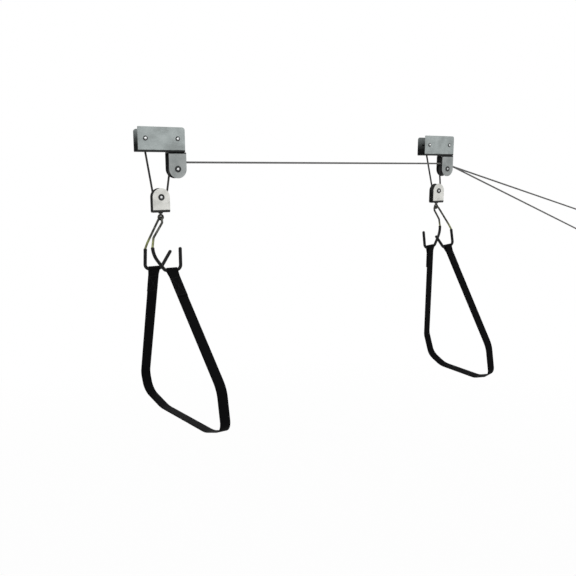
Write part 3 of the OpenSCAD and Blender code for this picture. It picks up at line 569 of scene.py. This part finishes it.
def barrel_knot(name, top, down, turns, tail):
    """Stopper knot: turns wound round the rope's own end, which sticks out of it by tail."""
    r = ROPE_R
    z = unit(np.array(down, float))
    x = unit(np.cross(z, vec(0.2, 1, 0.1)))
    y = np.cross(z, x)
    wide = 1.9 * r
    rise = 1.72 * r
    points = []
    for k in range(turns * KNOT_STEPS + 1):
        a = 2 * math.pi * k / KNOT_STEPS
        aside = wide * (x * math.cos(a) + y * math.sin(a))
        points.append(np.array(top) + z * (r * 0.9 + rise * k / KNOT_STEPS) + aside)
    last = points[-1]
    points += [
        last + z * r - x * wide * 0.35,
        last + z * r * 2.2 - x * wide * 0.8,
        last + z * (r * 2.2 + tail) - x * wide,
    ]
    wound = rope(name + "_turns", points, 2.5, 10, z, r * 0.93)
    core = rope(name + "_core", [np.array(top), np.array(top) + z * (rise * turns + r)], 3, 12, x, r)
    return joined(name, [wound, core])


def unit_ropes(side):
    """Both falls, the rope under the lower sheave and the stopper knot of one unit."""
    ux, bx = UNIT_X[side], BLOCK_X[side]
    y_top = 0 if side == "left" else REAR_Y
    block = f"{side}_block"
    haul, anchor = haul_lean(side), anchor_lean(side)
    haul_top = on_sheave(ux + AXLE_X, y_top, AXLE_Z, math.pi - haul)
    haul_low = on_sheave(ux + bx, 0, BLOCK_Z, -haul)
    anchor_low = on_sheave(ux + bx, 0, BLOCK_Z, math.pi + anchor)
    anchor_top = vec(ux + ANCHOR_X, 0, SHEET_T / 2)
    for name, top, low in (("haul_fall", haul_top, haul_low), ("anchor_fall", anchor_top, anchor_low)):
        fall = rope(f"{side}_{name}_rope", [top, low], 1.5, 16)
        dress(fall, "fall", None, [f"{side}_{name}"])
        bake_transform(fall)
    wrap = math.pi - haul - anchor
    arc = over_sheave(ux + bx, 0, BLOCK_Z, math.pi + anchor, wrap, 24)
    dress(rope(f"{side}_block_rope_run", arc, 3, 14), "dark_run", block, [f"{side}_block_rope"])
    knot_foot = vec(ux + ANCHOR_X, 0, SHEET_T - 1.2)
    knot = barrel_knot(f"{side}_stopper_knot", knot_foot, (0, 0, 1), 3, 3.0)
    dress(knot, "dark_run", "ceiling_parts", [f"{side}_rope_knot"])


for side in UNIT_X:
    unit_ropes(side)

# Cleats, and the turns of the tails on their necks
CLEAT_X, CLEAT_FORWARD, CLEAT_TURNS = UNIT_X["right"] + 985.0, 40.0, 2
DROPS = {"front": 386.0, "rear": 284.0}
TAIL_Y = {"front": -REAR_Y, "rear": REAR_Y}
NECK_R, NECK_GAP = 10.4, 0.4
WIND_R = NECK_R + ROPE_R + NECK_GAP
WIND_STEP = ROPE_D * 1.09
FREE_END, KNOT_L = 46.0, 12.0
SHEAVE_X = UNIT_X["right"] + AXLE_X


def tail_slope(drop):
    """Slope below level of a tail, from the top of its sheave to the top of its cleat's neck."""
    dx, dz = CLEAT_X - SHEAVE_X, drop + AXLE_Z
    return math.atan2(dz, dx) + math.asin((PITCH_R - WIND_R) / math.hypot(dx, dz))


def neck_point(drop, a):
    """Point of the turns on a cleat's neck; they go forward as the angle falls."""
    slope = tail_slope(drop)
    y = -CLEAT_FORWARD - WIND_STEP * (math.pi / 2 - slope - a) / (2 * math.pi)
    return vec(CLEAT_X + WIND_R * math.cos(a), y, -drop + WIND_R * math.sin(a))


def tail_path(which):
    """Line of a tail from the sheave's tangent to its knot."""
    drop = DROPS[which]
    slope = tail_slope(drop)
    a0 = math.pi / 2 - slope
    turned = a0 + 2 * math.pi * CLEAT_TURNS
    m = math.ceil(turned / math.radians(8))
    start = on_sheave(SHEAVE_X, TAIL_Y[which], AXLE_Z, a0)
    wound = [neck_point(drop, a0 - turned * k / m) for k in range(m + 1)]
    end = wound[-1]
    return [start] + wound + [end - vec(0, 0, ROPE_D), end - vec(0, 0, FREE_END - KNOT_L)]


def hauling_line(which):
    """Tail from a sheave to its cleat, with its turns there, and the knot on its free end."""
    path = resampled(tail_path(which), 4.0)
    tail = sweep(f"{which}_tail_rope", path, disc(ROPE_R, 14), (0, 1, 0))
    knot = barrel_knot(f"{which}_tail_knot", path[-1] + vec(0, 0, 2), (0, 0, -1), 2, 2.0)
    dress(knot, "light_run", "ceiling_parts")
    dress(tail, "light_run", "ceiling_parts", [f"{which}_tail"])
    float(lengths(path)[-1]) * MM


def span_rope():
    """Over the left upper sheave, across, and over the right housing's front sheave."""
    lean, slope = haul_lean("left"), tail_slope(DROPS["front"])
    wrap = math.pi / 2 - lean
    left_x = UNIT_X["left"] + AXLE_X
    line = over_sheave(left_x, 0, AXLE_Z, math.pi - lean, -wrap, 20)
    line += over_sheave(SHEAVE_X, -REAR_Y, AXLE_Z, math.pi / 2, -slope, 6)
    dress(rope("span_rope_run", line, 4, 14), "light_run", "ceiling_parts", ["span_rope"])


def right_top_rope():
    """Over the right housing's rear sheave."""
    lean, slope = haul_lean("right"), tail_slope(DROPS["rear"])
    wrap = math.pi / 2 + slope - lean
    line = over_sheave(SHEAVE_X, REAR_Y, AXLE_Z, math.pi - lean, -wrap, 24)
    run = rope("right_top_rope_run", line, 3, 14)
    dress(run, "dark_run", "ceiling_parts", ["right_top_rope"])


for which in DROPS:
    hauling_line(which)
span_rope()
right_top_rope()


# Hooks

FAR_X, NEAR_X = -HOOK_Y * 1.6, HOOK_Y * 1.68
FAR_TIP_H, NEAR_TIP_H = 52.0, 67.0
TIP_SLOPE, SHANK_SLOPE = math.radians(57), math.radians(54)
LEAN_RUN = FAR_TIP_H / math.tan(TIP_SLOPE)
SEAT_L, HOOK_BEND, SHANK_R = 52.5, 15.0, 80.0
SHANK_H = HOOK_DROP * 0.31
FAR_CORNER, NEAR_CORNER = FAR_X + SEAT_L, NEAR_X - SEAT_L
APEX_HALF = 2 * ROD_R + 3.2
# Wire of the left hook from the far hook's tip to the near one's, as (point, bend radius) from the apex
ROD_PATH = [
    ((FAR_CORNER + LEAN_RUN, HOOK_Y, FAR_TIP_H - HOOK_DROP), 0),
    ((FAR_CORNER, HOOK_Y, -HOOK_DROP), HOOK_BEND),
    ((FAR_X, HOOK_Y, -HOOK_DROP), HOOK_BEND),
    ((FAR_X * 0.93, HOOK_Y, -HOOK_DROP * 0.6), 0),
    ((FAR_X * 0.8, HOOK_Y * 0.86, -HOOK_DROP * 0.49), 12),
    ((0, APEX_HALF, 0), APEX_HALF - ROD_R / 4),
    ((0, -APEX_HALF, 0), APEX_HALF - ROD_R / 4),
    ((0, -APEX_HALF, -HOOK_DROP * 0.1), 6),
    ((FAR_X * 0.73, -HOOK_Y * 0.86, -HOOK_DROP * 0.365), 12),
    ((FAR_X * 0.85, -HOOK_Y, -HOOK_DROP * 0.54), 0),
    ((NEAR_CORNER - SHANK_H / math.tan(SHANK_SLOPE), -HOOK_Y, SHANK_H - HOOK_DROP), SHANK_R),
    ((NEAR_CORNER, -HOOK_Y, -HOOK_DROP), HOOK_BEND),
    ((NEAR_X, -HOOK_Y, -HOOK_DROP), HOOK_BEND),
    ((NEAR_X, -HOOK_Y, NEAR_TIP_H - HOOK_DROP), 0),
]
FAR_COAT, NEAR_COAT = ROD_PATH[3][0], ROD_PATH[9][0]
RIGHT_LEAN = math.radians(-9)


def load_place(side, half_turn=True):
    """Function that places a point of a hook or sling, counted from the apex, under a block.

    The right hook is the left one turned by half. Both it and its sling lean with the load.
    """
    def place(p):
        x, y, z = p
        if side == "left":
            return vec(UNIT_X[side] + BLOCK_X[side] + x, y, APEX_Z + z)
        if half_turn:
            x, y = -x, -y
        c, s = math.cos(RIGHT_LEAN), math.sin(RIGHT_LEAN)
        return vec(UNIT_X[side] + BLOCK_X[side] + x * c + z * s, y, APEX_Z - x * s + z * c)
    return place


def nearest(points, p):
    """Index of the point nearest to p."""
    return int(np.argmin([np.linalg.norm(q - np.array(p)) for q in points]))


def coat(name, points, place):
    """Dipped coating over a stretch of rod that ends at the hook's tip: a soft start, and a round tip."""
    start_l, settle_l, tip_rings = 3.2, 6.0, 8
    points = resampled([place(p) for p in points], 2.0)
    run = lengths(points)
    end = unit(points[-1] - points[-2])
    radii = []
    for s in run:
        rise = math.sin(min(1, s / start_l) * math.pi / 2)
        settle = min(1, max(0, s - start_l) / settle_l)
        radii.append(COAT_R * (0.72 + 0.34 * rise - 0.06 * settle))
    for k in range(1, tip_rings + 1):
        a = math.pi / 2 * k / tip_rings
        points.append(points[len(run) - 1] + end * COAT_R * math.sin(a))
        radii.append(COAT_R * max(0.04, math.cos(a)))
    return sweep(name, points, disc(1, 20), (0, 0, 1) if abs(end[2]) < 0.9 else (1, 0, 0), radii)


def hook(side):
    """The wire of a double hook and the coating on both its ends."""
    place = load_place(side)
    fine = rounded(ROD_PATH, 5)
    far, near = nearest(fine, FAR_COAT), nearest(fine, NEAR_COAT)
    wire = resampled([place(p) for p in fine], 3.0)
    rod = sweep(f"{side}_hook_wire", wire, disc(ROD_R, 20), (0, 0, 1))
    dress(rod, "zinc", f"{side}_hook", [f"{side}_hook_rod"])
    coats = [
        coat(f"{side}_coat_a", fine[far::-1], place),
        coat(f"{side}_coat_b", fine[near:], place),
    ]
    coating = joined(f"{side}_hook_coating", coats)
    dress(coating, "vinyl", f"{side}_hook", [f"{side}_hook_sleeves"])


for side in UNIT_X:
    hook(side)


# Slings

SLING_DEPTH = 520.0
# Half width in mm, and the line's corners: x, z and bend radius as shares of the depth, y of the half width
SLINGS = {
    "left": (262.0, [
        (0.155, -1, -0.655, 0.16), (0.185, -0.975, -0.925, 0.1), (0.17, -0.55, -1, 0.2),
        (0.08, 0.55, -1, 0.2), (0.035, 0.94, -0.93, 0.1), (0.02, 0.965, -0.8, 0.12)]),
    "right": (205.0, [
        (0.07, -1, -0.775, 0.18), (0.095, -0.965, -1.03, 0.09), (0.1, -0.55, -1.09, 0.16),
        (0.1, 0.45, -1.09, 0.16), (0.09, 0.76, -1.02, 0.09), (0.07, 0.8, -0.83, 0.12)]),
}
STRAP_PLAY, LAYER_GAP = 0.6, 0.3
LOOP_R = COAT_R + STRAP_PLAY + SOLID_T / 2
LOOP_L = 3.2 * LOOP_R
SEWN_L = 70.0
LAYER = (SOLID_T + LAYER_GAP) / 2  # from the middle of a sewn end to the middle of each layer


def seat_middle(upright, corner, slope):
    """Middle in X of the level stretch between a hook's upright side and its leaning one."""
    side = math.copysign(1, corner - upright)
    return (upright + side * HOOK_BEND + corner - side * HOOK_BEND * math.tan(slope / 2)) / 2


FAR_SEAT = vec(seat_middle(FAR_X, FAR_CORNER, TIP_SLOPE), HOOK_Y, -HOOK_DROP)
NEAR_SEAT = vec(seat_middle(NEAR_X, NEAR_CORNER, SHANK_SLOPE), -HOOK_Y, -HOOK_DROP)


def end_loop(seat, toward, turn):
    """Line of a sewn end: out along the band, round the hook at seat, and back."""
    run = toward - seat
    length = math.hypot(run[1], run[2])
    d = vec(0, run[1], run[2]) / length
    n = turn * np.cross(vec(1, 0, 0), d)
    opened = math.acos(LOOP_R / LOOP_L)
    wrap = 2 * math.pi - 2 * opened
    flat = [(LOOP_L + SEWN_L) * d + LAYER * n, LOOP_L * d + LAYER * n]
    m = math.ceil(math.degrees(wrap) / 9)
    for k in range(m + 1):
        a = opened + wrap * k / m
        flat.append(LOOP_R * (math.cos(a) * d + math.sin(a) * n))
    flat += [LOOP_L * d - LAYER * n, (LOOP_L + SEWN_L) * d - LAYER * n]
    return [seat + p + vec(max(0, p @ d) * run[0] / length, 0, 0) for p in flat]


def sling_line(side):
    """Both end loops, and the whole line with the belly between them."""
    half, shares = SLINGS[side]
    corners = []
    for a, b, c, r in shares:
        corners.append(((a * SLING_DEPTH, b * half, c * SLING_DEPTH - HOOK_DROP), r * SLING_DEPTH))
    near, far = NEAR_SEAT, FAR_SEAT
    if side == "right":
        near, far = FAR_SEAT * vec(-1, -1, 1), NEAR_SEAT * vec(-1, -1, 1)
    start = end_loop(near, np.array(corners[0][0]), -1)
    stop = end_loop(far, np.array(corners[-1][0]), 1)[::-1]
    body = rounded([(start[-1], 0)] + corners + [(stop[0], 0)], 4)
    return start, stop, start[:-1] + body + stop[1:]


def strap_section():
    """Round-edged strap section as (across, through) pairs."""
    w, t, e = STRAP_W / 2, STRAP_T / 2, 0.7
    half = [
        (-w + e, t), (-w / 2, t * 1.04), (0, t), (w / 2, t * 1.04), (w - e, t),
        (w - 0.2, t * 0.62), (w, 0),
    ]
    return half + [(-a, -b) for a, b in half]


def stitches(seat_end, loop_start, thick, place):
    """Rows of thread over a sewn end, as a box with a cross, standing on both faces."""
    margin_w, margin_l, stitch_l, thread_r = 4.0, 5.0, 3.6, 0.42
    d = loop_start - seat_end
    length = np.linalg.norm(d)
    d = d / length
    x = vec(1, 0, 0)
    x = unit(x - (x @ d) * d)
    n = np.cross(x, d)
    mid = (seat_end + loop_start) / 2
    half_w, half_l = STRAP_W / 2 - margin_w, length / 2 - margin_l
    corners = [(-half_w, -half_l), (half_w, -half_l), (half_w, half_l), (-half_w, half_l)]
    lines = [(corners[i], corners[(i + 1) % 4]) for i in range(4)]
    lines += [(corners[0], corners[2]), (corners[1], corners[3])]
    pieces = []
    for face in (-1, 1):
        for p, q in lines:
            p, q = vec(*p), vec(*q)
            run = np.linalg.norm(q - p)
            m = max(3, round(run / stitch_l))
            for k in range(m):
                a, b = p + (q - p) * (k + 0.12) / m, p + (q - p) * (k + 0.88) / m
                line = []
                for f, rise in ((0, -0.25), (0.2, 0.22), (0.5, 0.34), (0.8, 0.22), (1, -0.25)):
                    c = a + (b - a) * f
                    line.append(place(mid + x * c[0] + d * c[1] + n * face * (thick + rise)))
                pieces.append(sweep("stitch", line, disc(thread_r, 6), (0.1, 1, 0.2)))
    return joined("stitches", pieces)


def sling(side):
    """Webbing with a sewn loop on each hook, and the stitching of both."""
    place = load_place(side, half_turn=False)
    start, stop, line = sling_line(side)
    section = strap_section()
    path = resampled([place(p) for p in line], 6.0)
    band = sweep(f"{side}_webbing", path, section, (1, 0, 0), flat_x=side == "left")
    across = band.data.attributes.new("across", "FLOAT", "POINT")
    across.data.foreach_set("value", [section[i % len(section)][0] for i in range(len(band.data.vertices))])
    sewn = []
    for loop in (start, stop[::-1]):
        seat_end, loop_start = (loop[0] + loop[-1]) / 2, (loop[1] + loop[-2]) / 2
        sewn.append(stitches(seat_end, loop_start, LAYER + STRAP_T / 2, place))
    seam = joined(f"{side}_stitching", sewn)
    dress(seam, "thread", f"{side}_hook")
    dress(band, "webbing", f"{side}_hook", [f"{side}_strap"])
    float(lengths(line)[-1]) * MM


for side in UNIT_X:
    sling(side)


# Screws

def screw(at, axis, head_r, head_h, shank_r, shank_l):
    """Round-headed screw with a washer. axis points the way its head faces."""
    z = np.array(axis, float)
    washer = revolve("washer", [
        (shank_r + 0.2, 0.05), (head_r * 1.75, 0.05), (head_r * 1.8, 0.35), (head_r * 1.72, 0.8),
        (head_r * 1.2, 1.25), (shank_r + 0.2, 1.3)], at, z)
    profile = [(shank_r, 1.1), (head_r * 0.98, 1.3)]
    for a in np.linspace(0, math.pi / 2 - 0.15, 7):
        profile.append((head_r * math.cos(a), 1.3 + head_h * (0.25 + 0.75 * math.sin(a))))
    head = revolve("head", profile, at, z)
    ridge = []
    pitch = shank_r * 0.62
    m = int(shank_l / pitch)
    for k in range(m):
        fall = -pitch * k
        taper = 1 if k < m * 0.65 else 1 - 0.75 * (k - m * 0.65) / (m * 0.35)
        ridge += [(shank_r * 0.72 * taper, fall), (shank_r * 0.95 * taper, fall - pitch * 0.5)]
    shank = revolve("shank", [(shank_r * 0.72, 1.2)] + ridge + [(0.15, -shank_l)], at, z, 20)
    return washer, head, shank


# Outer faces of the brackets' cheeks and fronts of the cleats, with the screws' places on them
CHEEK_Y, SCREW_X, SCREW_Z = 21.5, 52.0, 41.0
CLEAT_FACE_Y, CLEAT_SCREW_X = -36.5, 26.0


# Each bracket screw sits on a dark washer that gives the dark ring round its head: partly the washer's own
# tone, partly painted shade for the shadow round the head
def bracket_screws():
    washers, heads = [], []
    for x in UNIT_X.values():
        for face in (-1, 1):
            for aside in (-SCREW_X, SCREW_X):
                at = vec(x + aside, face * CHEEK_Y, SCREW_Z)
                washer, head, shank = screw(at, (0, face, 0), 4.1, 2.4, 2.9, 17)
                washers += [washer, shank]
                heads += [head]
    dress(joined("bracket_screw_washers", washers), "axle", "ceiling_parts")
    dress(joined("bracket_screws", heads), "pin", "ceiling_parts")


def cleat_screws():
    washers, heads = [], []
    for drop in DROPS.values():
        for aside in (-CLEAT_SCREW_X, CLEAT_SCREW_X):
            at = vec(CLEAT_X + aside, CLEAT_FACE_Y, -drop)
            washer, head, shank = screw(at, (0, -1, 0), 3.4, 2.0, 2.0, 26)
            washers += [washer]
            heads += [head, shank]
    dress(joined("cleat_screw_washers", washers), "axle", "ceiling_parts")
    dress(joined("cleat_screws", heads), "rivet", "ceiling_parts")


bracket_screws()
cleat_screws()

# Bright ends of the axles, seated in their hollow heads: radius and height over the head's face
AXLE_END = [(4.05, -1.74), (4.2, -1.6), (4.2, -0.9), (3.9, -0.5), (3.0, -0.26), (1.6, -0.14), (0.2, -0.1)]
TOP_HEAD_Y, BLOCK_HEAD_Y = 19.0, 14.9  # those faces


def axle_ends(name, body, x, z, head_y):
    ends = [revolve("end", AXLE_END, vec(x, face * head_y, z), (0, face, 0), 24) for face in (-1, 1)]
    dress(joined(name, ends), "pin", body)


for side, x in UNIT_X.items():
    axle_ends(f"{side}_top_axle_ends", "ceiling_parts", x + AXLE_X, AXLE_Z, TOP_HEAD_Y)
    axle_ends(f"{side}_block_axle_ends", f"{side}_block", x + BLOCK_X[side], BLOCK_Z, BLOCK_HEAD_Y)


# Stage

FLOOR, FLOOR_Z = 9000, -2950
FLOOR_TONE = 0.86
NEAR_SHARE, NEAR_M, FAR_M = 0.94, 3.0, 8.0
WORLD_LEVEL = 0.55
AIM = (0, 0, -0.3)
# Name, place, side and power of each lamp, in metres and watts
LAMPS = (
    ("key", (-2.6, -3.2, 1.8), 2.4, 95),
    ("fill", (2.8, -2.6, 2.6), 2.6, 62),
    ("back", (0.4, 3.2, 1.6), 2.6, 45),
)


def seen(tree):
    """1 for the rays that show a thing to the camera: straight, in gloss or through glass."""
    ray = tree.nodes.new("ShaderNodeLightPath").outputs
    share = ray["Is Camera Ray"]
    for kind in ("Is Glossy Ray", "Is Transmission Ray"):
        most = tree.nodes.new("ShaderNodeMath")
        most.operation = "MAXIMUM"
        tree.links.new(share, most.inputs[0])
        tree.links.new(ray[kind], most.inputs[1])
        share = most.outputs[0]
    return share


def stage_material():
    """Pale floor: white to the camera, but for a share near the part that keeps its shadow."""
    p = Paint("floor", Roughness=0.9, Base_Color=(FLOOR_TONE, FLOOR_TONE, FLOOR_TONE, 1))
    away = p.node("ShaderNodeVectorMath", operation="LENGTH")
    p.link(p.coords(), away.inputs[0])
    share = p.spread(away.outputs["Value"], NEAR_SHARE, 1.0, NEAR_M, FAR_M)
    mix = p.node("ShaderNodeMixShader")
    p.link(p.math("MULTIPLY", seen(p.tree), share), mix.inputs[0])
    p.link(p.bsdf.outputs[0], mix.inputs[1])
    p.link(p.node("ShaderNodeEmission").outputs[0], mix.inputs[2])
    p.link(mix.outputs[0], p.tree.nodes["Material Output"].inputs["Surface"])
    return p.mat


def place_floor():
    corners = [(x * FLOOR, y * FLOOR, FLOOR_Z) for x, y in ((-1, -1), (1, -1), (1, 1), (-1, 1))]
    floor = new_object("floor", corners, [(0, 1, 2, 3)], smooth=False)
    floor.data.materials.append(stage_material())


def light_world():
    """Soft light from everywhere, and a white background."""
    world = bpy.data.worlds.new("studio")
    world.use_nodes = True
    tree = world.node_tree
    background = tree.nodes["Background"]
    level = tree.nodes.new("ShaderNodeMapRange")
    level.inputs["To Min"].default_value = WORLD_LEVEL
    level.inputs["To Max"].default_value = 1.0
    tree.links.new(seen(tree), level.inputs["Value"])
    background.inputs["Color"].default_value = (1, 1, 1, 1)
    tree.links.new(level.outputs["Result"], background.inputs["Strength"])
    bpy.context.scene.world = world


def area_light(name, at, size, power):
    data = bpy.data.lights.new(name, "AREA")
    data.size = size
    data.energy = power
    light = bpy.data.objects.new(name, data)
    bpy.context.scene.collection.objects.link(light)
    light.location = at
    light.rotation_euler = (Vector(AIM) - Vector(at)).to_track_quat("-Z", "Y").to_euler()


place_floor()
light_world()
for lamp in LAMPS:
    area_light(*lamp)
bpy.context.scene.view_settings.view_transform = "Standard"
